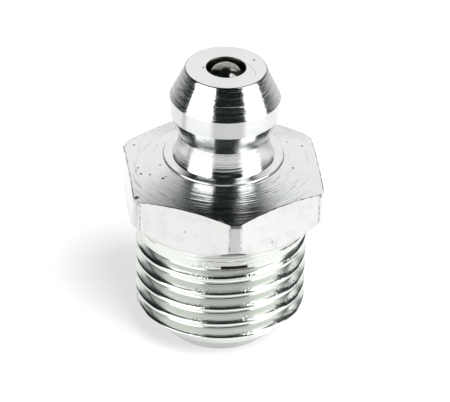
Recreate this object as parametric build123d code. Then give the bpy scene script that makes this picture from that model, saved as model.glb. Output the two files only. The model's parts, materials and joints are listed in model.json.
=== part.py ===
from build123d import *

import math
import os

# Straight grease nipple, M10 x 1 parallel thread, in millimetres.
# Z runs along the axis from the thread end (Z = 0) up to the coupler head.
# The helical thread is cosmetic: the shank stands at the thread's major diameter.

# Threaded shank
thread_diameter = 9.9
shank_length = 7.85
thread_end_chamfer = 2.0

# Hexagon
hex_across_flats = 11.0
hex_corner_cut = 0.15
hex_side_height = 2.65
hex_underside_chamfer = 0.8
hex_top_angle = 19.0

# Collar land round the foot of the neck
collar_width = 0.49
collar_step = 0.1

# Coupler head
head_diameter = 6.4
head_band_height = 1.05
head_cone_height = 1.82
head_cone_inset = 0.86
head_edge_radius = 0.1

# Neck behind the head, upright at its waist and curving out to the collar
undercut_depth = 0.6
underhead_angle = 24.0
waist_radius = 0.2
neck_height = 1.53
neck_foot_angle = 26.0
neck_end_straight = 0.1
neck_root_radius = 0.12

# Check ball and its seat
ball_diameter = 2.5
seat_overlap = 0.13
seat_clearance = 0.03
seat_height = 0.3
outlet_land = 0.44
outlet_chamfer = 0.12

# Bore and the lip peened in at the thread end
ball_side_clearance = 0.25
drill_point_angle = 118.0
lip_overhang = 0.5
lip_height = 0.7
peen_cone_depth = 0.3
peen_cone_width = 0.6

# Ball spring, with plain ground ends; eight sides stand for the round wire
spring_wire_diameter = 0.3
spring_wire_sides = 8
spring_side_clearance = 0.3
spring_coils = 8

# Radii, the neck's slope and its side length, which follow from the sizes above
thread_radius = thread_diameter / 2
end_face_radius = thread_radius - thread_end_chamfer
hex_corner_radius = hex_across_flats / 2 / math.cos(math.radians(30)) - hex_corner_cut
head_radius = head_diameter / 2
head_face_radius = head_radius - head_cone_inset
neck_radius = head_radius - undercut_depth
neck_foot_slope = math.radians(neck_foot_angle)
neck_side_length = neck_height / (1 + math.cos(neck_foot_slope))
neck_foot_radius = neck_radius + neck_side_length * math.sin(neck_foot_slope)
neck_curve_radius = (neck_side_length - neck_end_straight) / math.tan(neck_foot_slope / 2)
collar_radius = neck_foot_radius + collar_width
ball_radius = ball_diameter / 2
seat_radius = ball_radius + seat_clearance
outlet_radius = ball_radius - seat_overlap
bore_radius = ball_radius + ball_side_clearance
inlet_radius = bore_radius - lip_overhang
spring_outer_radius = bore_radius - spring_side_clearance
spring_inner_radius = spring_outer_radius - spring_wire_diameter

# Heights that follow, from the thread end upwards
hex_corner_top = shank_length + hex_side_height
hex_top_rise = (hex_corner_radius - collar_radius) * math.tan(math.radians(hex_top_angle))
collar_top = hex_corner_top + hex_top_rise + collar_step
waist_height = collar_top + neck_height
band_bottom = waist_height + undercut_depth / math.tan(math.radians(underhead_angle))
band_top = band_bottom + head_band_height
head_top = band_top + head_cone_height

# The seat is part of a sphere, so the ball and the seat share one centre
seat_edge_rise = math.sqrt(seat_radius**2 - outlet_radius**2)
ball_centre = head_top - outlet_land - seat_edge_rise
seat_foot_rise = seat_edge_rise - seat_height
seat_foot_radius = math.sqrt(seat_radius**2 - seat_foot_rise**2)


def turned(corners):
    """Solid of revolution about Z from corners given as (radius, height, corner round)."""
    points = [(radius, 0, height) for radius, height, corner_round in corners]
    rounds = [corner_round for radius, height, corner_round in corners]
    outline = FilletPolyline(*points, radius=rounds, close=True)
    return revolve(make_face(outline), Axis.Z)


def turned_blank():
    """Outside of the body as it comes off the lathe, before the flats."""
    return turned([
        (0, 0, 0),
        (end_face_radius, 0, 0),
        (thread_radius, thread_end_chamfer, 0),
        (thread_radius, shank_length, 0),
        (hex_corner_radius - hex_underside_chamfer, shank_length, 0),
        (hex_corner_radius, shank_length + hex_underside_chamfer, 0),
        (hex_corner_radius, hex_corner_top, 0),
        (collar_radius, collar_top - collar_step, 0),
        (collar_radius, collar_top, 0),
        (neck_foot_radius, collar_top, neck_root_radius),
        (neck_radius, waist_height - neck_side_length, neck_curve_radius),
        (neck_radius, waist_height, waist_radius),
        (head_radius, band_bottom, head_edge_radius),
        (head_radius, band_top, head_edge_radius),
        (head_face_radius, head_top, head_edge_radius),
        (0, head_top, 0),
    ])


def flats_cutter():
    """Ring that leaves the six flats, with two corners of the hexagon on Y."""
    height = collar_top - shank_length
    ring = Cylinder(hex_corner_radius * 2, height, align=(Align.CENTER, Align.CENTER, Align.MIN))
    outline = RegularPolygon(hex_across_flats / 2, 6, major_radius=False, rotation=30)
    return Pos(0, 0, shank_length) * (ring - extrude(outline, height))


def through_bore():
    """Inlet with its peened lip, the bore, the drill point, the ball's seat and the outlet."""
    drill_slope = math.tan(math.radians(drill_point_angle / 2))
    drill_shoulder = ball_centre + seat_foot_rise - (bore_radius - seat_foot_radius) / drill_slope
    bore = turned([
        (0, 0, 0),
        (inlet_radius + peen_cone_width, 0, 0),
        (inlet_radius, peen_cone_depth, 0),
        (inlet_radius, lip_height, 0),
        (bore_radius, lip_height, 0),
        (bore_radius, drill_shoulder, 0),
        (seat_foot_radius, ball_centre + seat_foot_rise, 0),
        (0, ball_centre + seat_foot_rise, 0),
    ])
    seat = Pos(0, 0, ball_centre) * Sphere(seat_radius)
    outlet = turned([
        (0, ball_centre, 0),
        (outlet_radius, ball_centre, 0),
        (outlet_radius, head_top - outlet_chamfer, 0),
        (outlet_radius + outlet_chamfer, head_top, 0),
        (0, head_top, 0),
    ])
    return bore + seat + outlet


def nipple_body():
    """The one-piece steel body."""
    return turned_blank() - flats_cutter() - through_bore()


def check_ball():
    """The ball, a seat clearance off its seat."""
    return Pos(0, 0, ball_centre) * Sphere(ball_radius)


def valve_spring():
    """Compression spring from the peened lip up to the underside of the ball."""
    wire_radius = spring_wire_diameter / 2
    coil_radius = spring_outer_radius - wire_radius
    foot = lip_height
    head = ball_centre - math.sqrt(seat_radius**2 - spring_inner_radius**2)
    pitch = (head - foot) / spring_coils
    coil_path = Helix(pitch, (head - foot) + pitch, coil_radius, center=(0, 0, foot - pitch / 2))
    wire_section = RegularPolygon(wire_radius, spring_wire_sides)
    coil_start = Plane(origin=coil_path @ 0, z_dir=coil_path % 0)
    coils = sweep(coil_start * wire_section, path=coil_path, is_frenet=True)
    align = (Align.CENTER, Align.CENTER, Align.MIN)
    ground_length = Pos(0, 0, foot) * Cylinder(bore_radius, head - foot, align=align)
    return coils & ground_length


def write_parts():
    """Write one STEP file for each piece."""
    os.makedirs("parts", exist_ok=True)
    export_step(nipple_body(), "parts/nipple_body.step")
    export_step(check_ball(), "parts/check_ball.step")
    export_step(valve_spring(), "parts/valve_spring.step")


write_parts()
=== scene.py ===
import json
import math

import bmesh
import bpy
import numpy as np
from mathutils import Matrix, Vector

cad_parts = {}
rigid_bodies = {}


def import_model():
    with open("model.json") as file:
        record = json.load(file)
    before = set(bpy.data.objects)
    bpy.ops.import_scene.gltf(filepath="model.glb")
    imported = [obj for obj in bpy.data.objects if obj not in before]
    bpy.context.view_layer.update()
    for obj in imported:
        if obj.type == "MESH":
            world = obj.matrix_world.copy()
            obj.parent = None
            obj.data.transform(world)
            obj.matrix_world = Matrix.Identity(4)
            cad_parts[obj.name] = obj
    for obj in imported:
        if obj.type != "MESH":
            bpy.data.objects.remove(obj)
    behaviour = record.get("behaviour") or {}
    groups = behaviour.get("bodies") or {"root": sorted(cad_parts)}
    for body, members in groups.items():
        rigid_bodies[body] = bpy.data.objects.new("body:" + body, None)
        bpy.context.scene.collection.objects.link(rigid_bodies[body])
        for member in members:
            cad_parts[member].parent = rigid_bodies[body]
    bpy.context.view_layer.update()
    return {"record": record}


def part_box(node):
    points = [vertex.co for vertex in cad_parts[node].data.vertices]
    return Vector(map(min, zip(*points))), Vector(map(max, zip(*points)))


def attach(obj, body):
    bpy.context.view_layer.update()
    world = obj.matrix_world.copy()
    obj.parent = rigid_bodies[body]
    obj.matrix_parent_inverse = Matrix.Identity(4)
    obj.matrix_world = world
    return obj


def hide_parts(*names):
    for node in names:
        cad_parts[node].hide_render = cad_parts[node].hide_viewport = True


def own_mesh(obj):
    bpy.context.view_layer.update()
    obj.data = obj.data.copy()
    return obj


# Dresses the grease nipple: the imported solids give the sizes, this script adds the
# cut thread, the rounded edges, the turning marks, the zinc plate and the studio.

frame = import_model()

mm = 0.001
mounts = {mount["name"]: mount for mount in frame["record"]["mounts"]}
bodyLow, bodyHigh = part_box("nipple_body")
ballLow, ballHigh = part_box("check_ball")
springLow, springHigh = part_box("valve_spring")
print("frame loaded, body", round((bodyHigh.z - bodyLow.z) / mm, 2), "mm tall")


# sizes in mm, angles in degrees
body = {
    "threadRadius": mounts["thread"]["dims"]["r_mm"],
    "shankTop": mounts["seating_face"]["pos_m"][2] / mm,
    "endChamfer": 2.0,
    "threadStart": 1.2,            # the rows of the thread begin at this height
    "footRounds": (0.08, 0.05, 0.1),
    "chamferBlend": 0.02,
    "pitch": 1.0,
    "flankAngle": 60,
    "rootHeight": 0.44,            # a groove's root crosses the front column this high above a whole pitch
    "frontAngle": -97.7,           # the column in the middle of the front view
    "crestRound": 0.18,
    "rootRound": 0.10,
    "runOutFrom": 6.12,            # from here the groove gets shallower and narrower
    "runOutTo": 7.1,
    "shankFillet": 0.04,
    "apothem": (bodyHigh.x - bodyLow.x) / mm / 2,
    "cornerRadius": (bodyHigh.y - bodyLow.y) / mm / 2,
    "cornerBlend": 0.02,
    "columnsAHalfFlat": 16,
    "columnsByEdge": (0.1, 0.3, 0.8),  # either side of the line where a flat meets the turned corner
    "cornerTop": 10.5,
    "undersideRadius": 5.4,
    "undersideRounds": (0.02, 0.03),
    "hexTopSlope": math.tan(math.radians(19.0)),
    "edgeRound": 0.07,
    "topEdgeRound": 0.012,
    "collarRadius": 3.443,
    "collarStep": 0.1,
    "collarLeadIn": (0.05, 0.017),     # out and down from the collar's foot
    "collarRounds": (0.012, 0.03),
    "waistRadius": 2.6,
    "neckHeight": 1.53,
    "neckFootAngle": 26.0,
    "neckEndStraight": 0.1,
    "waistRound": 0.2,
    "neckRootRound": 0.12,
    "bandRadius": mounts["coupler_head"]["dims"]["r_mm"],
    "bandMiddle": mounts["coupler_head"]["pos_m"][2] / mm,
    "bandHalf": 0.525,
    "faceRadius": 2.34,
    "headTop": bodyHigh.z / mm,
    "rimRound": 0.1,
    "outletRadius": 1.12,
    "outletChamfer": 0.05,
    "outletRound": 0.03,
    "outletLand": 0.44,
    "seatClearance": 0.03,
    "seatSpan": 14,                # how far the coined seat runs down the ball's sphere
    "drillPoint": 118,
    "boreRadius": 1.5,
    "boreRows": 12,
    "inletRadius": 1.0,
    "lipHeight": springLow.z / mm,
    "lipChamfer": 0.04,
    "peenDepth": 0.3,
    "peenWidth": 0.6,
    # dark steel of the bore, also put on the outlet's chamfer as painted shade
    "boreColor": (0.14, 0.13, 0.12, 1),
    "boreRoughness": (0.32, 0.42),
}


def intoScene(name, data):
    piece = bpy.data.objects.new(name, data)
    bpy.context.scene.collection.objects.link(piece)
    return piece


def outline(count, corners):
    # one array for each corner, with its radius and height in every column of the mesh
    points = []
    for radius, height in corners:
        point = np.zeros((count, 2))
        point[:, 0] = radius
        point[:, 1] = height
        points.append(point)
    return points


def roundedLine(corners, rounds, longest, support=0.03, arcStep=0.08):
    # the inner corners get arcs, one radius for each
    points = [corners[0]]
    for before, here, after, size in zip(corners, corners[1:], corners[2:], rounds):
        toBefore = (before - here) / np.linalg.norm(before - here, axis=1, keepdims=True)
        toAfter = (after - here) / np.linalg.norm(after - here, axis=1, keepdims=True)
        opening = np.arccos(np.clip((toBefore * toAfter).sum(1), -1, 1))[:, None]
        reach = size / np.tan(opening / 2)
        middle = toBefore + toAfter
        middle /= np.linalg.norm(middle, axis=1, keepdims=True)
        centre = here + middle * size / np.sin(opening / 2)
        first = here + toBefore * reach - centre
        last = here + toAfter * reach - centre
        sweep = math.pi - opening
        steps = max(5, math.ceil((sweep * size).max() / arcStep))
        for share in np.linspace(0, 1, steps + 1):
            blend = (np.sin((1 - share) * sweep) * first + np.sin(share * sweep) * last) / np.sin(sweep)
            points.append(centre + blend)
    points.append(corners[-1])
    return filledLine(points, longest, support)


def filledLine(points, longest, support):
    # long runs get points on them, and one close to each end so that the arcs keep their own shading
    filled = [points[0]]
    for here, after in zip(points, points[1:]):
        length = np.linalg.norm(after - here, axis=1).max()
        if length > 4 * support:
            steps = max(2, math.ceil(length / longest))
            for share in np.linspace(support / length, 1 - support / length, steps):
                filled.append(here + (after - here) * share)
        filled.append(after)
    return filled


def smoothLess(a, b, width):
    # the lesser of two values with a rounded change-over
    return 0.5 * (a + b - np.sqrt((a - b) ** 2 + width ** 2))


def smoothStep(value, low, high):
    share = np.clip((value - low) / (high - low), 0, 1)
    return share * share * (3 - 2 * share)


def columnAngles():
    # six equal sides, with columns closer together where a flat meets the turned corner
    edge = np.degrees(np.arccos(body["apothem"] / body["cornerRadius"]))
    near = body["columnsByEdge"]
    steps = [*np.linspace(0, edge - near[-1], body["columnsAHalfFlat"])]
    for offset in near:
        steps += [edge - offset, edge + offset]
    steps.append((edge + 30.7) / 2)    # one more on the way to the middle of the corner
    sector = sorted({round(float(s), 5) for s in steps} | {round(-float(s), 5) for s in steps})
    sector.append(30.0)
    return np.radians([side * 60 + angle for side in range(6) for angle in sector])


def hexReach(angles):
    # from the axis to the flats, cut off by the turned corners
    offset = (np.degrees(angles) + 30) % 60 - 30
    flat = body["apothem"] / np.cos(np.radians(offset))
    return smoothLess(flat, np.full_like(flat, body["cornerRadius"]), body["cornerBlend"])


def threadDepth():
    # a full round crest and root joined by straight flanks
    rounds = body["crestRound"] + body["rootRound"]
    flank = body["pitch"] / 2 - rounds * math.sin(math.radians(body["flankAngle"]))
    return rounds / 2 + flank * math.tan(math.radians(body["flankAngle"]))


def grooveProfile(away):
    # how deep the groove is at a distance from the middle of its root
    crest, root, half = body["crestRound"], body["rootRound"], body["pitch"] / 2
    slant = math.radians(body["flankAngle"])
    away = np.minimum(away, half)
    edge = root * math.sin(slant)
    rootArc = threadDepth() - root + np.sqrt(np.clip(root ** 2 - away ** 2, 0, None))
    flank = threadDepth() - root / 2 - (away - edge) * math.tan(slant)
    crestArc = crest - np.sqrt(np.clip(crest ** 2 - (half - away) ** 2, 0, None))
    onCrest = half - away < crest * math.sin(slant)
    return np.where(away < edge, rootArc, np.where(onCrest, crestArc, flank))


def threadRows():
    # places of the rows from the middle of one groove to the next crest
    crest, root, half = body["crestRound"], body["rootRound"], body["pitch"] / 2
    rootPart = root * np.sin(np.radians(np.linspace(0, body["flankAngle"], 4)))
    crestPart = half - crest * np.sin(np.radians(np.linspace(body["flankAngle"], 0, 5)))
    flankPart = np.linspace(rootPart[-1], crestPart[0], 4)[1:-1]
    return np.concatenate([rootPart, flankPart, crestPart])


def rootLine(angles):
    return body["rootHeight"] + body["pitch"] * (angles - math.radians(body["frontAngle"])) / (2 * math.pi)


def grooveShare(rootHeight):
    # one along the thread, falling to nothing where the tool runs out
    return 1 - smoothStep(rootHeight, body["runOutFrom"], body["runOutTo"])


def threadRadiusAt(angles, height):
    place = (height - rootLine(angles)) / body["pitch"]
    turn = np.round(place)
    away = np.abs(place - turn) * body["pitch"]
    share = np.maximum(grooveShare(rootLine(angles) + turn * body["pitch"]), 1e-3)
    radius = body["threadRadius"] - share * grooveProfile(away / share)
    chamfer = body["threadRadius"] - body["endChamfer"] + height
    return smoothLess(radius, chamfer, body["chamferBlend"])


def threadRings(angles, low, high):
    # rows that follow the helix, pressed flat where they would leave the thread's length
    rows = threadRows()
    places = [-place for place in rows[:0:-1]] + list(rows[:-1])
    start = rootLine(angles)
    rings = []
    for turn in range(math.floor(low - start.max()) - 1, math.ceil(high - start.min()) + 2):
        for place in places:
            height = np.clip(start + turn * body["pitch"] + place, low, high)
            rings.append(np.stack([threadRadiusAt(angles, height), height], axis=1))
    return rings, len(places)


def footLine(count):
    # from the inlet's lip over the end face and up the chamfer to the thread
    inlet = body["inletRadius"]
    endFace = body["threadRadius"] - body["endChamfer"]
    corners = outline(count, [
        (inlet, body["lipHeight"] / 2),
        (inlet, body["peenDepth"]),
        (inlet + body["peenWidth"], 0),
        (endFace, 0),
        (endFace + body["threadStart"], body["threadStart"]),
    ])
    return roundedLine(corners, body["footRounds"], longest=0.25)


def hexLine(angles):
    # from the shank out under the hexagon, up its side and in over its turned top
    reach = hexReach(angles)
    under, fillet = body["shankTop"], body["shankFillet"]
    coneTop = body["cornerTop"] + (body["cornerRadius"] - reach) * body["hexTopSlope"]
    collarFoot = body["cornerTop"] + (body["cornerRadius"] - body["collarRadius"]) * body["hexTopSlope"]
    corners = outline(len(angles), [
        (body["threadRadius"], under - fillet),
        (body["threadRadius"] + fillet, under),
        (body["undersideRadius"], under),
        (reach, under + reach - body["undersideRadius"]),
        (reach, coneTop),
        (body["collarRadius"], collarFoot),
    ])
    rounds = [*body["undersideRounds"], body["edgeRound"], body["topEdgeRound"]]
    return roundedLine(corners, rounds, longest=0.5), collarFoot


def headLine(count, collarFoot):
    # from the collar's little step over the neck and the head to the outlet
    leadOut, leadDown = body["collarLeadIn"]
    top = collarFoot + body["collarStep"]
    waist = top + body["neckHeight"]
    slope = math.radians(body["neckFootAngle"])
    neckSide = body["neckHeight"] / (1 + math.cos(slope))
    neckCurve = (neckSide - body["neckEndStraight"]) / math.tan(slope / 2)
    corners = outline(count, [
        (body["collarRadius"] + leadOut, collarFoot - leadDown),
        (body["collarRadius"], collarFoot),
        (body["collarRadius"], top),
        (body["waistRadius"] + neckSide * math.sin(slope), top),
        (body["waistRadius"], waist - neckSide),
        (body["waistRadius"], waist),
        (body["bandRadius"], body["bandMiddle"] - body["bandHalf"]),
        (body["bandRadius"], body["bandMiddle"] + body["bandHalf"]),
        (body["faceRadius"], body["headTop"]),
        (body["outletRadius"] + body["outletChamfer"], body["headTop"]),
        (body["outletRadius"], body["headTop"] - body["outletChamfer"]),
        (body["outletRadius"], body["headTop"] - body["outletLand"]),
    ])
    rounds = [*body["collarRounds"], body["neckRootRound"], neckCurve, body["waistRound"]]
    rounds += [body["rimRound"]] * 3 + [body["outletRound"]] * 2
    return roundedLine(corners, rounds, longest=0.4)


def boreLine(count):
    # down from the outlet over the coined seat and the drill point, through the bore to the lip
    ballCentre = (ballLow.z + ballHigh.z) / 2 / mm
    seat = (ballHigh.x - ballLow.x) / mm / 2 + body["seatClearance"]
    edge = math.asin(body["outletRadius"] / seat)
    corners = []
    for angle in np.linspace(edge, edge + math.radians(body["seatSpan"]), 6):
        corners.append((seat * math.sin(angle), ballCentre + seat * math.cos(angle)))
    footRadius, footHeight = corners[-1]
    drillSlope = math.tan(math.radians(body["drillPoint"] / 2))
    shoulder = footHeight - (body["boreRadius"] - footRadius) / drillSlope
    for height in np.linspace(shoulder, body["lipHeight"], body["boreRows"]):
        corners.append((body["boreRadius"], height))
    corners.append((body["inletRadius"] + body["lipChamfer"], body["lipHeight"]))
    corners.append((body["inletRadius"], body["lipHeight"] - body["lipChamfer"]))
    return outline(count, corners)


def ringFaces(count, total, climbFrom, climbTo, climb):
    # quads between the rings; in the thread the rows climb by a whole pitch in one turn
    faces = []
    for ring in range(total):
        after = (ring + 1) % total
        for column in range(count - 1):
            faces.append((ring * count + column, ring * count + column + 1,
                          after * count + column + 1, after * count + column))
        nextRing, nextAfter = ring, after
        if climbFrom <= ring < climbTo:
            nextRing = min(ring + climb, climbTo)
            nextAfter = min(ring + 1 + climb, climbTo)
        faces.append((ring * count + count - 1, nextRing * count,
                      nextAfter * count, after * count + count - 1))
    return faces


def finishOfFaces(stack, angles, foot, thread, side, head):
    # the numbers are the places of the body's four materials
    turnedPart, flatPart, threadPart, boreAndRimShadePart = range(4)
    total, count = stack.shape[:2]
    headFrom = foot + thread + side
    numbers = np.full((total, count), turnedPart, dtype=np.int32)
    numbers[foot:foot + thread] = threadPart
    numbers[headFrom + head:] = boreAndRimShadePart
    numbers[0] = boreAndRimShadePart
    # the outlet's chamfer and wall take the bore's dark steel: painted shade that dims the rim's highlights
    outlet = body["outletRadius"] + body["outletChamfer"]
    for ring in range(headFrom, headFrom + head):
        if stack[ring, 0, 0] < outlet:
            numbers[ring] = boreAndRimShadePart
    onFlat = hexReach(angles) < body["cornerRadius"] - body["cornerBlend"]
    for ring in range(foot + thread, headFrom - 1):
        upright = np.abs(stack[ring + 1, :, 0] - stack[ring, :, 0]) < 1e-4
        numbers[ring, upright & onFlat] = flatPart
    return numbers.reshape(-1)


def makeBody():
    angles = columnAngles()
    count = len(angles)
    foot = footLine(count)
    thread, rowsAPitch = threadRings(angles, body["threadStart"], body["shankTop"] - body["shankFillet"])
    side, collarFoot = hexLine(angles)
    head = headLine(count, collarFoot)
    stack = np.array(foot + thread + side + head + boreLine(count))
    radius, height = stack[:, :, 0], stack[:, :, 1]
    spots = np.stack([radius * np.cos(angles), radius * np.sin(angles), height], axis=2)
    faces = ringFaces(count, len(stack), len(foot), len(foot) + len(thread) - 1, rowsAPitch)

    mesh = bpy.data.meshes.new("nippleBody")
    mesh.from_pydata((spots.reshape(-1, 3) * mm).tolist(), [], faces)
    finishes = finishOfFaces(stack, angles, len(foot), len(thread), len(side), len(head))
    mesh.polygons.foreach_set("material_index", finishes)
    tidy = bmesh.new()
    tidy.from_mesh(mesh)
    bmesh.ops.remove_doubles(tidy, verts=tidy.verts, dist=1e-7)
    bmesh.ops.dissolve_degenerate(tidy, edges=tidy.edges, dist=1e-8)
    bmesh.ops.recalc_face_normals(tidy, faces=tidy.faces)
    tidy.to_mesh(mesh)
    tidy.free()
    for face in mesh.polygons:
        face.use_smooth = True
    triangles = sum(len(face.vertices) - 2 for face in mesh.polygons)
    print("body:", len(mesh.vertices), "vertices,", triangles, "triangles")
    return intoScene("nippleBody", mesh)


# sizes in metres, angles in degrees
ball = {
    "radius": (ballHigh.x - ballLow.x) / 2,
    "centre": (ballHigh.z + ballLow.z) / 2,
    "columns": 96,
    "rows": 56,
    "wearAngle": 61.0,             # where the seat touches, counted from the top
    "wearWidth": 4.0,
    "wearDepth": 0.004 * mm,
    "color": (0.31, 0.305, 0.28, 1),
    "roughness": (0.075, 0.175),
}


def makeBall():
    spots, faces = [(0, 0, ball["centre"] + ball["radius"])], []
    for row in range(1, ball["rows"]):
        tilt = math.pi * row / ball["rows"]
        wear = math.exp(-((math.degrees(tilt) - ball["wearAngle"]) / ball["wearWidth"]) ** 2)
        radius = ball["radius"] - ball["wearDepth"] * wear
        for column in range(ball["columns"]):
            turn = 2 * math.pi * column / ball["columns"]
            spots.append((radius * math.sin(tilt) * math.cos(turn), radius * math.sin(tilt) * math.sin(turn),
                          ball["centre"] + radius * math.cos(tilt)))
    spots.append((0, 0, ball["centre"] - ball["radius"]))
    last = len(spots) - 1
    foot = 1 + (ball["rows"] - 2) * ball["columns"]
    for column in range(ball["columns"]):
        after = (column + 1) % ball["columns"]
        faces.append((0, 1 + column, 1 + after))
        for row in range(ball["rows"] - 2):
            upper, lower = 1 + row * ball["columns"], 1 + (row + 1) * ball["columns"]
            faces.append((upper + column, lower + column, lower + after, upper + after))
        faces.append((last, foot + after, foot + column))
    mesh = bpy.data.meshes.new("checkBall")
    mesh.from_pydata(spots, [], faces)
    for face in mesh.polygons:
        face.use_smooth = True
    print("ball:", len(spots), "vertices")
    return intoScene("checkBall", mesh)


# sizes in metres
spring = {
    "wire": 0.3 * mm,
    "outerRadius": (springHigh.x - springLow.x) / 2,
    "foot": springLow.z,
    "head": springHigh.z,
    "turns": 8,
    "stepsATurn": 40,
    "wireSteps": 14,
    "color": (0.55, 0.56, 0.57, 1),
    "roughness": (0.2, 0.3),
}


def makeSpring():
    # round wire wound at an even pitch, ends ground flat
    wire = spring["wire"] / 2
    coil = spring["outerRadius"] - wire
    low, high = spring["foot"], spring["head"]
    pitch = (high - low) / spring["turns"]
    steps = (spring["turns"] + 1) * spring["stepsATurn"]
    slope = math.atan(pitch / (2 * math.pi * coil))
    around = [2 * math.pi * side / spring["wireSteps"] for side in range(spring["wireSteps"])]
    spots, faces = [], []
    for step in range(steps + 1):
        turn = 2 * math.pi * step / spring["stepsATurn"]
        out = Vector((math.cos(turn), math.sin(turn), 0))
        up = Vector((math.sin(turn) * math.sin(slope), -math.cos(turn) * math.sin(slope), math.cos(slope)))
        centre = out * coil + Vector((0, 0, low - pitch / 2 + pitch * step / spring["stepsATurn"]))
        for angle in around:
            spot = centre + out * (wire * math.cos(angle)) + up * (wire * math.sin(angle))
            spots.append((spot.x, spot.y, min(max(spot.z, low), high)))
    for step in range(steps):
        here, there = step * spring["wireSteps"], (step + 1) * spring["wireSteps"]
        for side in range(spring["wireSteps"]):
            after = (side + 1) % spring["wireSteps"]
            faces.append((here + side, there + side, there + after, here + after))
    mesh = bpy.data.meshes.new("valveSpring")
    mesh.from_pydata(spots, [], faces)
    tidy = bmesh.new()
    tidy.from_mesh(mesh)
    # what was pressed into the two end planes gives way to one flat face at each end
    flat = [face for face in tidy.faces if all(v.co.z <= low + 1e-9 for v in face.verts)
            or all(v.co.z >= high - 1e-9 for v in face.verts)]
    bmesh.ops.delete(tidy, geom=flat, context="FACES")
    bmesh.ops.remove_doubles(tidy, verts=tidy.verts, dist=1e-8)
    bmesh.ops.holes_fill(tidy, edges=[edge for edge in tidy.edges if edge.is_boundary], sides=0)
    bmesh.ops.recalc_face_normals(tidy, faces=tidy.faces)
    tidy.to_mesh(mesh)
    tidy.free()
    for face in mesh.polygons:
        face.use_smooth = len(face.vertices) == 4
    print("spring:", len(mesh.vertices), "vertices")
    return intoScene("valveSpring", mesh)


# noise hardly ever leaves this range
noiseRange = (0.3, 0.7)


# short hand for building node trees
def addNode(tree, kind, inputs=None, **settings):
    node = tree.nodes.new(kind)
    for key, value in settings.items():
        setattr(node, key, value)
    for key, value in (inputs or {}).items():
        feed(tree, node.inputs[key], value)
    return node


def feed(tree, socket, value):
    if isinstance(value, bpy.types.NodeSocket):
        tree.links.new(value, socket)
    else:
        socket.default_value = value


def calc(tree, operation, *values):
    node = addNode(tree, "ShaderNodeMath", operation=operation)
    for socket, value in zip(node.inputs, values):
        feed(tree, socket, value)
    return node.outputs[0]


def product(tree, first, *others):
    for value in others:
        first = calc(tree, "MULTIPLY", first, value)
    return first


def greatest(tree, first, *others):
    for value in others:
        first = calc(tree, "MAXIMUM", first, value)
    return first


def remap(tree, value, fromLow, fromHigh, toLow, toHigh, kind="SMOOTHSTEP"):
    inputs = {"Value": value, "From Min": fromLow, "From Max": fromHigh, "To Min": toLow, "To Max": toHigh}
    return addNode(tree, "ShaderNodeMapRange", inputs, interpolation_type=kind).outputs["Result"]


def within(tree, value, low, high, soft):
    # one between two limits, nothing outside
    rise = remap(tree, value, low - soft, low + soft, 0.0, 1.0)
    return product(tree, rise, remap(tree, value, high - soft, high + soft, 1.0, 0.0))


def mixColor(tree, share, first, second):
    node = addNode(tree, "ShaderNodeMix", data_type="RGBA")
    for index, value in ((0, share), (6, first), (7, second)):
        feed(tree, node.inputs[index], value)
    return node.outputs[2]


def bumped(tree, height, distance, normal=None):
    inputs = {"Height": height, "Strength": 1.0, "Distance": distance}
    if normal is not None:
        inputs["Normal"] = normal
    return addNode(tree, "ShaderNodeBump", inputs).outputs[0]


def newMaterial(name):
    print("finish:", name)
    material = bpy.data.materials.new(name)
    material.use_nodes = True
    material.node_tree.nodes.clear()
    return material, material.node_tree


def metalShader(tree, inputs):
    shader = addNode(tree, "ShaderNodeBsdfPrincipled", {"Metallic": 1.0, **inputs})
    addNode(tree, "ShaderNodeOutputMaterial", {"Surface": shader.outputs[0]})


def zincShader(tree, color, rough, normal, anisotropic):
    # the gloss is drawn out across the turning marks
    tangent = addNode(tree, "ShaderNodeTangent", direction_type="RADIAL", axis="Z").outputs[0]
    metalShader(tree, {"Base Color": color, "Roughness": rough, "Anisotropic": anisotropic,
                       "Anisotropic Rotation": 0.25, "Tangent": tangent, "Normal": normal})


def latheCoordinates(tree):
    # the place in millimetres, the distance from the axis and the angle round it
    place = addNode(tree, "ShaderNodeTexCoord").outputs["Object"]
    scaled = addNode(tree, "ShaderNodeVectorMath", {0: place, 1: (1 / mm, 1 / mm, 1 / mm)},
                     operation="MULTIPLY").outputs[0]
    x, y, z = addNode(tree, "ShaderNodeSeparateXYZ", {0: scaled}).outputs
    radius = calc(tree, "SQRT", calc(tree, "ADD", product(tree, x, x), product(tree, y, y)))
    angle = calc(tree, "DEGREES", calc(tree, "ARCTAN2", y, x))
    return {"place": scaled, "x": x, "y": y, "z": z, "radius": radius, "angle": angle}


def fromFront(tree, at):
    return calc(tree, "SUBTRACT", at["angle"], body["frontAngle"])


def cloudNoise(tree, at, scale, detail):
    inputs = {"Vector": at["place"], "Scale": scale, "Detail": detail}
    return addNode(tree, "ShaderNodeTexNoise", inputs).outputs["Fac"]


def turningMarks(tree, at, perMm, arcs, detail=2.0):
    # noise drawn out into rings round the axis
    along = product(tree, calc(tree, "SUBTRACT", at["radius"], at["z"]), perMm)
    safe = calc(tree, "MAXIMUM", at["radius"], 0.2)    # never divides by nothing at the axis
    cosine = product(tree, calc(tree, "DIVIDE", at["x"], safe), arcs)
    sine = product(tree, calc(tree, "DIVIDE", at["y"], safe), arcs)
    vector = addNode(tree, "ShaderNodeCombineXYZ", {0: along, 1: cosine, 2: sine}).outputs[0]
    inputs = {"Vector": vector, "Scale": 1.0, "Detail": detail, "Roughness": 0.6}
    return addNode(tree, "ShaderNodeTexNoise", inputs).outputs["Fac"]


def distanceFrom(tree, at, spot):
    node = addNode(tree, "ShaderNodeVectorMath", {0: at["place"], 1: spot}, operation="DISTANCE")
    return node.outputs["Value"]


def lineMask(tree, value, place, halfWidth):
    away = calc(tree, "ABSOLUTE", calc(tree, "SUBTRACT", value, place))
    return remap(tree, away, 0.0, halfWidth, 1.0, 0.0)


def pitMask(tree, at, pits):
    # full over the inner third of each pit
    found = []
    for place, size in pits:
        found.append(remap(tree, distanceFrom(tree, at, place), size * 0.3, size, 1.0, 0.0))
    return greatest(tree, *found)


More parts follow.
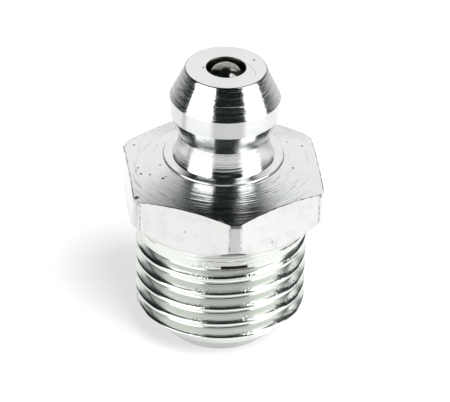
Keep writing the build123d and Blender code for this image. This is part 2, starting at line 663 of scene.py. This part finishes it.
def toolLines(tree, at, finish, normal):
    # single grooves of the tool's tip, broken here and there
    for place, halfWidth, depth in finish["toolLines"]:
        marks = turningMarks(tree, at, *finish["lineNoise"])
        line = product(tree, lineMask(tree, at["z"], place, halfWidth),
                       remap(tree, marks, *finish["lineBreaks"]))
        normal = bumped(tree, line, depth, normal)
    return normal


# In the finishes, lengths are in mm unless they carry the unit, and a span is from, to and
# its softness. A noise is marks in a mm and how broken they are, or scale and detail. Breaks
# and fades are four numbers: a value from and to, then what comes out from and to.
turnedFinish = {
    "color": (0.68, 0.69, 0.68, 1),
    "thinPlate": (0.64, 0.665, 0.645, 1),
    "plateCloud": (0.9, 3.0),
    "plateBreaks": (0.4, 0.7, 0.0, 0.6),
    "roughness": (0.09, 0.21),
    "anisotropic": 0.75,
    "fineNoise": (26.0, 1.5),
    "fineMarks": 0.0012 * mm,
    # height from and to, noise, depth
    "ringZones": [
        (10.2, 11.5, 8.0, 1.3, 0.015 * mm),
        (11.5, 12.95, 8.0, 1.3, 0.017 * mm),
        (12.9, 15.45, 6.0, 0.7, 0.003 * mm),
        (15.5, 17.2, 3.4, 0.9, 0.012 * mm),
        (15.5, 17.2, 4.0, 5.0, 0.014 * mm),
        (15.5, 17.2, 12.0, 2.5, 0.0045 * mm),
        (17.25, 17.4, 7.0, 0.7, 0.002 * mm),
    ],
    "ringSoft": 0.04,
    # height, half width and depth
    "toolLines": [(16.30, 0.03, 0.0055 * mm), (15.62, 0.02, 0.004 * mm)],
    "lineNoise": (0.5, 2.5),
    "lineBreaks": (0.40, 0.52, 0.0, -1.0),
    # places and half sizes of pits in the plate
    "pits": [
        ((-4.887, 2.526, 10.741), 0.10), ((3.872, 1.414, 11.216), 0.08), ((4.748, 1.361, 10.934), 0.11),
        ((3.856, -1.423, 11.220), 0.09), ((-3.740, -0.680, 11.326), 0.07), ((-1.288, 0.060, 17.297), 0.09),
        ((1.684, 0.663, 17.297), 0.09), ((-4.377, -1.290, 11.064), 0.08), ((-5.317, -2.900, 10.550), 0.17),
        ((-3.703, -1.940, 11.195), 0.11), ((-3.520, -1.860, 11.246), 0.07), ((-4.957, -0.270, 10.926), 0.08),
        ((-5.095, -0.498, 10.872), 0.07), ((-4.855, -0.936, 10.932), 0.09), ((-0.794, -5.760, 10.661), 0.15),
    ],
    "pitDepth": 0.03 * mm,
    # painted shade: the chamfer at the thread end is darker than the rest, up to this height
    "endColor": (0.47, 0.485, 0.47, 1),
    "endFade": (1.0, 1.3, 1.0, 0.0),
    "dirt": (0.10, 0.09, 0.08, 1),
    "hexTop": (10.3, 11.5, 0.05),
    # smudges on the hexagon's top, darkest at the front column as painted shade, weaker from 45 degrees off
    # it
    "smudgeNoise": (3.0, 2.5, 4.0),
    "smudgeBreaks": (0.55, 0.69, 0.0, 0.55),
    "smudgeFade": (45, 75, 1.0, 0.4),
    # dirt along the rim of the head's face: spans of radius and height
    "rimRadii": (body["faceRadius"] - 0.05, body["faceRadius"] + 0.05, 0.03),
    "rimHeights": (body["headTop"] - 0.12, body["headTop"] + 0.1, 0.02),
    "rimBreaks": (0.3, 0.7, 0.6, 0.3),
    # the edge over the flats: how far inside it the wear starts and is full
    "edgeWear": (0.098, 0.035),
    "edgeCloud": (2.2, 3.0),
    "edgeBreaks": (0.38, 0.62, 0.25, 0.95),
    # rings of painted shade at the front, out towards the corner: degrees from the front column, radii
    "grimeSide": (-20, 24, 5.0),
    "grimeRadii": (4.85, 6.4, 0.2),
    "grimeNoise": (7.0, 1.2),
    "grimeBreaks": (0.38, 0.6, 0.85, 0.2975),
    # a curved scratch on the head's face: centre, radius, half width, depth, dirt, and where it runs
    "scratchCentre": (-0.282, -0.853, 17.297),
    "scratchRadius": 1.877,
    "scratchHalfWidth": 0.045,
    "scratchDepth": 0.006 * mm,
    "scratchDirt": 0.35,
    "scratchSpans": {"y": (-1.1, 0.55, 0.15), "x": (0.9, 1.8, 0.05), "z": (17.2, 17.4, 0.02)},
}


def scratchMask(tree, at):
    away = distanceFrom(tree, at, turnedFinish["scratchCentre"])
    line = lineMask(tree, away, turnedFinish["scratchRadius"], turnedFinish["scratchHalfWidth"])
    spans = [within(tree, at[way], *span) for way, span in turnedFinish["scratchSpans"].items()]
    return product(tree, line, *spans)


def wornEdge(tree, at):
    # the edge over the flats is worn through to the dark steel in places
    across = []
    for turn in (0, 60, 120):
        way = (math.cos(math.radians(turn)), math.sin(math.radians(turn)), 0)
        node = addNode(tree, "ShaderNodeVectorMath", {0: at["place"], 1: way}, operation="DOT_PRODUCT")
        across.append(calc(tree, "ABSOLUTE", node.outputs["Value"]))
    start, full = turnedFinish["edgeWear"]
    edge = remap(tree, greatest(tree, *across), body["apothem"] - start, body["apothem"] - full, 0.0, 1.0)
    speck = cloudNoise(tree, at, *turnedFinish["edgeCloud"])
    return product(tree, edge, remap(tree, speck, *turnedFinish["edgeBreaks"]))


def turnedDirtAndShade(tree, at, cloud):
    # smudges, dirt along the rim, wear, and painted shade at the front of the hexagon's top, as the share
    # that the dark colour takes
    front = fromFront(tree, at)
    onTop = within(tree, at["z"], *turnedFinish["hexTop"])
    smudge = remap(tree, turningMarks(tree, at, *turnedFinish["smudgeNoise"]), *turnedFinish["smudgeBreaks"])
    # painted shade: the smudges are strongest at the front column
    smudgeShade = remap(tree, calc(tree, "ABSOLUTE", front), *turnedFinish["smudgeFade"])
    rim = product(tree, within(tree, at["radius"], *turnedFinish["rimRadii"]),
                  within(tree, at["z"], *turnedFinish["rimHeights"]),
                  remap(tree, cloud, *turnedFinish["rimBreaks"]))
    # painted shade in rings at the front of the hexagon's top
    frontShade = product(tree, within(tree, front, *turnedFinish["grimeSide"]),
                    within(tree, at["radius"], *turnedFinish["grimeRadii"]), onTop)
    streak = remap(tree, turningMarks(tree, at, *turnedFinish["grimeNoise"]), *turnedFinish["grimeBreaks"])
    return greatest(tree, product(tree, smudge, onTop, smudgeShade), rim, product(tree, wornEdge(tree, at), onTop),
                    product(tree, frontShade, streak))


def turnedZinc():
    material, tree = newMaterial("turnedZinc")
    at = latheCoordinates(tree)
    fine = turningMarks(tree, at, *turnedFinish["fineNoise"])
    cloud = cloudNoise(tree, at, *turnedFinish["plateCloud"])
    pits = pitMask(tree, at, turnedFinish["pits"])
    scratch = scratchMask(tree, at)

    normal = bumped(tree, fine, turnedFinish["fineMarks"])
    for low, high, perMm, arcs, depth in turnedFinish["ringZones"]:
        marks = calc(tree, "SUBTRACT", turningMarks(tree, at, perMm, arcs), 0.5)
        zone = within(tree, at["z"], low, high, turnedFinish["ringSoft"])
        normal = bumped(tree, product(tree, marks, zone), depth, normal)
    normal = toolLines(tree, at, turnedFinish, normal)
    normal = bumped(tree, pits, -turnedFinish["pitDepth"], normal)
    normal = bumped(tree, scratch, -turnedFinish["scratchDepth"], normal)

    thin = remap(tree, cloud, *turnedFinish["plateBreaks"])
    color = mixColor(tree, thin, turnedFinish["color"], turnedFinish["thinPlate"])
    # painted shade on the chamfer at the thread end
    color = mixColor(tree, remap(tree, at["z"], *turnedFinish["endFade"]), color, turnedFinish["endColor"])
    scratchDirt = product(tree, scratch, turnedFinish["scratchDirt"])
    # dirt, pits and the scratch, with the painted shade at the hexagon's front
    dirt = greatest(tree, turnedDirtAndShade(tree, at, cloud), scratchDirt, pits)
    color = mixColor(tree, dirt, color, turnedFinish["dirt"])
    rough = remap(tree, fine, *noiseRange, *turnedFinish["roughness"])
    zincShader(tree, color, rough, normal, turnedFinish["anisotropic"])
    return material


flatFinish = {
    "color": (0.68, 0.68, 0.667, 1),
    "stain": (0.62, 0.62, 0.61, 1),
    "stainCloud": (1.3, 4.0),
    "stainBreaks": (0.45, 0.7, 0.0, 1.0),
    "scuff": (0.30, 0.31, 0.31, 1),
    "scuffCloud": (4.5, 2.0),
    "scuffBreaks": (0.66, 0.74, 0.0, 0.35),
    "roughness": (0.16, 0.24),
    "anisotropic": 0.2,
    "grain": 0.0012 * mm,
    # the upright edges: how far inside them the wear starts and is full
    "edgeWear": (0.08, 0.03),
    "edgeBreaks": (0.38, 0.6, 0.25, 1.0),
    # the edge of the chamfer under the hexagon
    "lowEdgeFade": (0.03, 0.12, 0.35, 0.0),
    "pits": [
        ((-5.500, 0.256, 8.854), 0.10), ((2.266, -5.042, 8.578), 0.10), ((-2.718, -4.781, 9.339), 0.09),
    ],
}


def flatZinc():
    material, tree = newMaterial("flatZinc")
    at = latheCoordinates(tree)
    cloud = cloudNoise(tree, at, *flatFinish["stainCloud"])
    speck = cloudNoise(tree, at, *flatFinish["scuffCloud"])
    stain = remap(tree, cloud, *flatFinish["stainBreaks"])
    color = mixColor(tree, stain, flatFinish["color"], flatFinish["stain"])
    start, full = (body["cornerRadius"] - inside for inside in flatFinish["edgeWear"])
    edge = product(tree, remap(tree, at["radius"], start, full, 0.0, 1.0),
                   remap(tree, speck, *flatFinish["edgeBreaks"]))
    overChamfer = calc(tree, "SUBTRACT", calc(tree, "SUBTRACT", at["z"], at["radius"]),
                       body["shankTop"] - body["undersideRadius"])
    worn = greatest(tree, edge, remap(tree, overChamfer, *flatFinish["lowEdgeFade"]),
                    pitMask(tree, at, flatFinish["pits"]), remap(tree, speck, *flatFinish["scuffBreaks"]))
    color = mixColor(tree, worn, color, flatFinish["scuff"])
    rough = remap(tree, cloud, *noiseRange, *flatFinish["roughness"])
    zincShader(tree, color, rough, bumped(tree, cloud, flatFinish["grain"]), flatFinish["anisotropic"])
    return material


threadFinish = {
    "color": (0.68, 0.70, 0.67, 1),
    "groove": (0.65, 0.68, 0.64, 1),
    "grooveDepth": (0.5, 0.05),    # how far under the crests the groove's colour is full and gone
    "roughness": (0.14, 0.22),
    "anisotropic": 0.5,
    "markNoise": (9.0, 0.8),
    "marks": 0.002 * mm,
    # rings on the land over the run-out
    "land": (6.95, 7.8, 0.05),
    "landNoise": (8.0, 2.5),
    "landMarks": 0.007 * mm,
    # height, half width and depth
    "toolLines": [(7.545, 0.05, 0.028 * mm), (7.29, 0.04, 0.020 * mm)],
    "lineNoise": (0.5, 3.5),
    "lineBreaks": (0.42, 0.52, 0.0, -1.0),
    # where the crests are torn: degrees from the front column, then the share of a pitch over the root
    "tornSides": [(-20, -6, 3.0), (16, 25, 3.0), (42, 64, 3.0), (100, 150, 3.0), (-150, -120, 3.0)],
    "tornPhase": (-0.38, -0.24, 0.04),
    "burr": 0.012 * mm,
    "burrCloud": (6.0, 1.0),
    "burrBreaks": (0.45, 0.65, 0.0, 1.0),
    # black painted shade in the last groove, and the beads beside it: degrees, heights
    "scaleSide": (0.4, 18.6, 0.7),
    "scaleHeights": (6.70, 6.985, 0.02),
    "scaleColor": (0.02, 0.016, 0.016, 1),
    "beadSide": (-20, -1, 1.5),
    "beadHeights": (6.70, 6.90, 0.03),
    "beadStrength": 4.0,
    # near-black painted shade where the crests are torn deepest, in lines that fall this share of a pitch in
    # a degree
    "bareSide": (44, 68, 3.0),
    "barePhase": (-0.32, -0.18, 0.04),
    "bareFall": 0.0095,
    "bareBreaks": (0.35, 0.55, 0.3, 1.0),
    "bareColor": (0.05, 0.055, 0.055, 1),
}


def helixPhase(tree, at, front):
    # how far over the nearest groove's root, as a share of the pitch
    climbed = calc(tree, "ADD", product(tree, front, body["pitch"] / 360), body["rootHeight"])
    turns = calc(tree, "DIVIDE", calc(tree, "SUBTRACT", at["z"], climbed), body["pitch"])
    return calc(tree, "WRAP", turns, 0.5, -0.5)


def threadBurrs(tree, at, front, around, phase, speck):
    # torn beads on the upper side of the crests and beside the black painted shade in the last groove
    sides = [within(tree, around, *side) for side in threadFinish["tornSides"]]
    torn = product(tree, greatest(tree, *sides), within(tree, phase, *threadFinish["tornPhase"]))
    beside = product(tree, within(tree, front, *threadFinish["beadSide"]),
                     within(tree, at["z"], *threadFinish["beadHeights"]), threadFinish["beadStrength"])
    return product(tree, remap(tree, speck, *threadFinish["burrBreaks"]), greatest(tree, torn, beside))


def tornCrestShade(tree, around, phase, front, speck):
    # painted shade: near-black on the torn crests at the thread's right side
    left = threadFinish["bareSide"][0]
    fall = product(tree, calc(tree, "SUBTRACT", front, left), threadFinish["bareFall"])
    return product(tree, within(tree, around, *threadFinish["bareSide"]),
                   within(tree, calc(tree, "ADD", phase, fall), *threadFinish["barePhase"]),
                   remap(tree, speck, *threadFinish["bareBreaks"]))


def threadZinc():
    material, tree = newMaterial("threadZinc")
    at = latheCoordinates(tree)
    front = fromFront(tree, at)
    around = calc(tree, "WRAP", front, 180.0, -180.0)
    phase = helixPhase(tree, at, front)
    marks = turningMarks(tree, at, *threadFinish["markNoise"])
    speck = cloudNoise(tree, at, *threadFinish["burrCloud"])

    normal = bumped(tree, marks, threadFinish["marks"])
    rings = calc(tree, "SUBTRACT", turningMarks(tree, at, *threadFinish["landNoise"]), 0.5)
    rings = product(tree, rings, within(tree, at["z"], *threadFinish["land"]))
    normal = bumped(tree, rings, threadFinish["landMarks"], normal)
    normal = toolLines(tree, at, threadFinish, normal)
    normal = bumped(tree, threadBurrs(tree, at, front, around, phase, speck), threadFinish["burr"], normal)

    full, gone = (body["threadRadius"] - under for under in threadFinish["grooveDepth"])
    inGroove = remap(tree, at["radius"], full, gone, 1.0, 0.0)
    color = mixColor(tree, inGroove, threadFinish["color"], threadFinish["groove"])
    # painted shade: black in the last groove at the front
    scale = product(tree, within(tree, front, *threadFinish["scaleSide"]),
                    within(tree, at["z"], *threadFinish["scaleHeights"]))
    color = mixColor(tree, scale, color, threadFinish["scaleColor"])
    # painted shade on the torn crests of the right side
    color = mixColor(tree, tornCrestShade(tree, around, phase, front, speck), color, threadFinish["bareColor"])
    rough = remap(tree, marks, *noiseRange, *threadFinish["roughness"])
    zincShader(tree, color, rough, normal, threadFinish["anisotropic"])
    return material


steelFinish = {
    "cloud": (4.0, 4.0),
    "cloudBreaks": (0.35, 0.65, 0.0, 1.0),
    "cloudShade": 0.55,
    "grain": 0.001 * mm,
}


def plainSteel(name, color, roughness):
    # bare steel, clouded darker in places
    material, tree = newMaterial(name)
    cloud = cloudNoise(tree, latheCoordinates(tree), *steelFinish["cloud"])
    darker = tuple(steelFinish["cloudShade"] * part for part in color[:3]) + (1,)
    mixed = mixColor(tree, remap(tree, cloud, *steelFinish["cloudBreaks"]), color, darker)
    metalShader(tree, {"Base Color": mixed, "Roughness": remap(tree, cloud, *noiseRange, *roughness),
                       "Normal": bumped(tree, cloud, steelFinish["grain"])})
    return material


# lengths in metres, angles in degrees
camera = {
    "turn": -7.70,                 # round the part, so that a corner stands right of the middle
    "distance": 350.0 * mm,
    "elevation": 32.44,
    "risesFrom": 8.0 * mm,
    "aimSide": 0.172 * mm,
    "aimHeight": 8.272 * mm,
    "roll": 1.755,
    "lens": 484.8,                 # this and the sensor in mm, as a camera has them
    "sensorWidth": 36,
    "clip": (0.01, 20),
}


def makeCamera():
    turn = Matrix.Rotation(math.radians(camera["turn"]), 3, "Z")
    elevation = math.radians(camera["elevation"])
    stand = Vector((0, -math.cos(elevation), math.sin(elevation))) * camera["distance"]
    stand.z += camera["risesFrom"]
    aim = Vector((camera["aimSide"], 0, camera["aimHeight"]))
    forward = (aim - stand).normalized()
    right = forward.cross(Vector((0, 0, 1))).normalized()
    up = right.cross(forward)
    roll = math.radians(camera["roll"])
    leanRight = math.cos(roll) * right + math.sin(roll) * up
    leanUp = -math.sin(roll) * right + math.cos(roll) * up
    data = bpy.data.cameras.new("camera")
    data.lens = camera["lens"]
    data.sensor_width = camera["sensorWidth"]
    data.clip_start, data.clip_end = camera["clip"]
    piece = intoScene("camera", data)
    axes = Matrix((leanRight, leanUp, -forward)).transposed()
    piece.matrix_world = (turn @ axes).to_4x4()
    piece.location = turn @ stand
    bpy.context.scene.camera = piece
    print("camera set")


# lengths in metres, angles in degrees, azimuth counted from the front to the right
studio = {
    "ceiling": (0.02, 0.03, 0.028),
    "dark": (0.006, 0.014, 0.012),
    # azimuth from and to, elevation from and to, softness, brightness; a later one covers an earlier
    "patches": {
        "leftGap": (-138, -79, -20, 60, 4, 0.0),
        "rightGap": (88, 138, -20, 60, 4, 0.05),
        "leftBox": (-80, -24, -20, 42, 3, 3.2),
        "rightBox": (45, 89, -20, 67, 3, 3.2),
        "front": (-25, 45, -20, 80, 3, 0.0),
        "leftShoulder": (-142, -132, 32, 62, 6, 0.9),
        "rightShoulder": (124, 142, 34, 62, 6, 1.7),
    },
    "backBrightness": 1.18,
    "backSides": (133, 141, 0.0, 1.0),
    "backFade": (36, 68, 1.0, 0.0),
    "floorHalf": 3.0,
    "floorColor": (0.16, 0.16, 0.16, 1),
    # the floor glows: a painted pool of light that the part stands in, and the dimmer floor outside it
    "poolGlow": 0.64,
    "poolHalfWidth": 15 * mm,
    "poolAhead": 9 * mm,
    "poolSoft": 7 * mm,
    "farGlow": 0.12,
    # painted light in strips under the two softboxes, and on the floor beside the part: azimuth from and to,
    # softness, then distance from and to, glow from and to
    "strips": [(-82, -24, 7), (40, 92, 7)],
    "stripGlow": (25 * mm, 45 * mm, 0.42, 0.95),
    "beside": (92, 145, 6),
    "besideGlow": (45 * mm, 70 * mm, 0.42, 0.0),
    "keyAzimuth": 39,
    "keyElevation": 53,
    "keyDistance": 0.3,
    "keySize": 0.24,
    "keyPower": 4.6,
}


def studioAxes(tree, vector):
    # the studio is turned by the same fixed angle as the camera's stand
    inputs = {"Vector": vector, "Angle": math.radians(-camera["turn"])}
    turned = addNode(tree, "ShaderNodeVectorRotate", inputs, rotation_type="Z_AXIS").outputs[0]
    x, y, z = addNode(tree, "ShaderNodeSeparateXYZ", {0: turned}).outputs
    azimuth = calc(tree, "DEGREES", calc(tree, "ARCTAN2", x, product(tree, y, -1.0)))
    return {"x": x, "y": y, "z": z, "azimuth": azimuth}


def makeWorld():
    world = bpy.data.worlds.new("studio")
    bpy.context.scene.world = world
    world.use_nodes = True
    tree = world.node_tree
    tree.nodes.clear()
    at = studioAxes(tree, addNode(tree, "ShaderNodeTexCoord").outputs["Generated"])
    elevation = calc(tree, "DEGREES", calc(tree, "ARCSINE", at["z"]))
    behind = product(tree, remap(tree, calc(tree, "ABSOLUTE", at["azimuth"]), *studio["backSides"]),
                     remap(tree, elevation, *studio["backFade"]))
    color = mixColor(tree, behind, (*studio["ceiling"], 1), (studio["backBrightness"],) * 3 + (1,))
    for left, right, low, high, soft, bright in studio["patches"].values():
        inside = product(tree, within(tree, at["azimuth"], left, right, soft),
                         within(tree, elevation, low, high, soft))
        patch = tuple(dark + bright for dark in studio["dark"])
        color = mixColor(tree, inside, color, (*patch, 1))
    lit = addNode(tree, "ShaderNodeBackground", {"Color": color, "Strength": 1.0})
    plain = addNode(tree, "ShaderNodeBackground", {"Color": (1, 1, 1, 1), "Strength": 1.0})
    seen = addNode(tree, "ShaderNodeLightPath").outputs["Is Camera Ray"]
    mixed = addNode(tree, "ShaderNodeMixShader", {0: seen, 1: lit.outputs[0], 2: plain.outputs[0]})
    addNode(tree, "ShaderNodeOutputWorld", {"Surface": mixed.outputs[0]})
    print("studio walls set")


def makeKeyLight():
    azimuth = math.radians(studio["keyAzimuth"] + camera["turn"])
    elevation = math.radians(studio["keyElevation"])
    away = Vector((math.sin(azimuth) * math.cos(elevation), -math.cos(azimuth) * math.cos(elevation),
                   math.sin(elevation)))
    data = bpy.data.lights.new("keyLight", "AREA")
    data.shape = "DISK"
    data.size = studio["keySize"]
    data.energy = studio["keyPower"]
    piece = intoScene("keyLight", data)
    piece.location = away * studio["keyDistance"]
    piece.rotation_euler = away.to_track_quat("Z", "Y").to_euler()
    piece.visible_glossy = False
    print("key light set")


def floorGlow(tree):
    # painted light: bright in the pool, dimmer outside it but for the strips under the softboxes
    place = addNode(tree, "ShaderNodeTexCoord").outputs["Object"]
    at = studioAxes(tree, place)
    side = calc(tree, "SUBTRACT", calc(tree, "ABSOLUTE", at["x"]), studio["poolHalfWidth"])
    ahead = calc(tree, "SUBTRACT", product(tree, at["y"], -1.0), studio["poolAhead"])
    outside = remap(tree, greatest(tree, side, ahead), 0.0, studio["poolSoft"], 0.0, 1.0)
    away = addNode(tree, "ShaderNodeVectorMath", {0: place}, operation="LENGTH").outputs["Value"]
    strips = greatest(tree, *[within(tree, at["azimuth"], *strip) for strip in studio["strips"]])
    stripGlow = product(tree, strips, remap(tree, away, *studio["stripGlow"], "LINEAR"))
    beside = within(tree, calc(tree, "ABSOLUTE", at["azimuth"]), *studio["beside"])
    besideGlow = product(tree, beside, remap(tree, away, *studio["besideGlow"]))
    farGlow = calc(tree, "ADD", calc(tree, "ADD", stripGlow, besideGlow), studio["farGlow"])
    return addNode(tree, "ShaderNodeMix", {0: outside, 2: studio["poolGlow"], 3: farGlow}).outputs[0]


def makeFloor():
    half = studio["floorHalf"]
    mesh = bpy.data.meshes.new("floor")
    corners = [(-half, -half, 0), (half, -half, 0), (half, half, 0), (-half, half, 0)]
    mesh.from_pydata(corners, [], [(0, 1, 2, 3)])
    material, tree = newMaterial("paleFloor")
    shader = addNode(tree, "ShaderNodeBsdfPrincipled", {
        "Base Color": studio["floorColor"], "Roughness": 1.0, "Specular IOR Level": 0.0,
        "Emission Color": (1, 1, 1, 1), "Emission Strength": floorGlow(tree)})
    addNode(tree, "ShaderNodeOutputMaterial", {"Surface": shader.outputs[0]})
    mesh.materials.append(material)
    piece = intoScene("floor", mesh)
    print("floor set")


makeCamera()
makeWorld()
makeKeyLight()
makeFloor()

bodyPiece = makeBody()
boreSteel = plainSteel("boreSteel", body["boreColor"], body["boreRoughness"])
for finish in (turnedZinc(), flatZinc(), threadZinc(), boreSteel):
    bodyPiece.data.materials.append(finish)
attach(bodyPiece, "body")
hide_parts("nipple_body")

ballPiece = makeBall()
ballPiece.data.materials.append(plainSteel("ballSteel", ball["color"], ball["roughness"]))
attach(ballPiece, "ball")
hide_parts("check_ball")

springPiece = makeSpring()
springPiece.data.materials.append(plainSteel("springSteel", spring["color"], spring["roughness"]))
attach(springPiece, "body")
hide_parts("valve_spring")
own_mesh(springPiece)

bpy.context.scene.view_settings.view_transform = "Standard"
